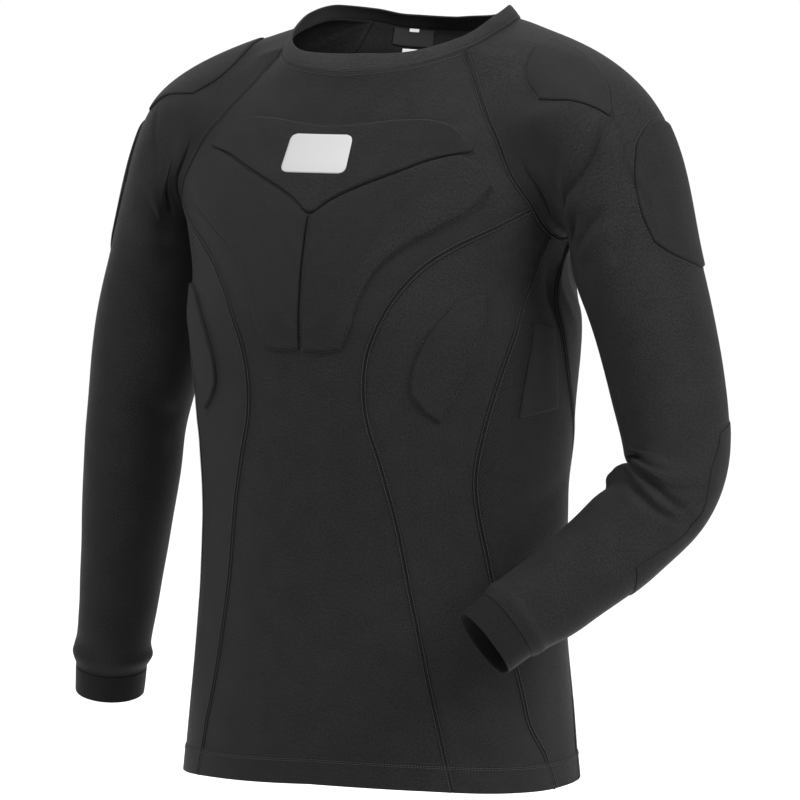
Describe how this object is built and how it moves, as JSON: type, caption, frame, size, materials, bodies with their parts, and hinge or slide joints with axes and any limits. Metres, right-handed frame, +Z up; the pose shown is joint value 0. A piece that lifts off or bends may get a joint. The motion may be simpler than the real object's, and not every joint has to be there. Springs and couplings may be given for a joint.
{
  "type": "padded compression shirt",
  "caption": "Black long-sleeved raglan base layer with foam pads on chest, ribs, sides, shoulders, arms and elbows, filled out with nobody in it.",
  "frame": {"origin": "in the middle of the neck hole, at the height where the shoulders carry the shirt", "axes": "+Z up, -Y out of the chest, +X towards the wearer's left arm"},
  "size_m": [0.7125, 0.3301, 0.7152],
  "materials": {
    "black_knit": "fine matt stretch knit with a slight satin sheen",
    "black_mesh": "open eyelet mesh knit",
    "neck_knit": "doubled stretch knit",
    "pad_cover": "stretch knit over soft foam",
    "label_cloth": "smooth woven label",
    "tab_cloth": "white satin tape"
  },
  "bodies": {
    "root": {"front_centre": "black_knit", "side_front_left": "black_knit", "side_front_right": "black_knit", "back": "black_knit", "sleeve_left": "black_knit", "sleeve_right": "black_knit", "cuff_left": "black_knit", "cuff_right": "black_knit", "side_panel_left": "black_mesh", "side_panel_right": "black_mesh", "neck_band": "neck_knit", "chest_pad_upper": "pad_cover", "chest_pad_left": "pad_cover", "rib_pad_left": "pad_cover", "side_pad_left": "pad_cover", "shoulder_pad_left": "pad_cover", "arm_pad_left": "pad_cover", "elbow_pad_left": "pad_cover", "chest_pad_right": "pad_cover", "rib_pad_right": "pad_cover", "side_pad_right": "pad_cover", "shoulder_pad_right": "pad_cover", "arm_pad_right": "pad_cover", "elbow_pad_right": "pad_cover", "neck_label": "label_cloth", "label_tab": "tab_cloth"}
  },
  "joints": []
}
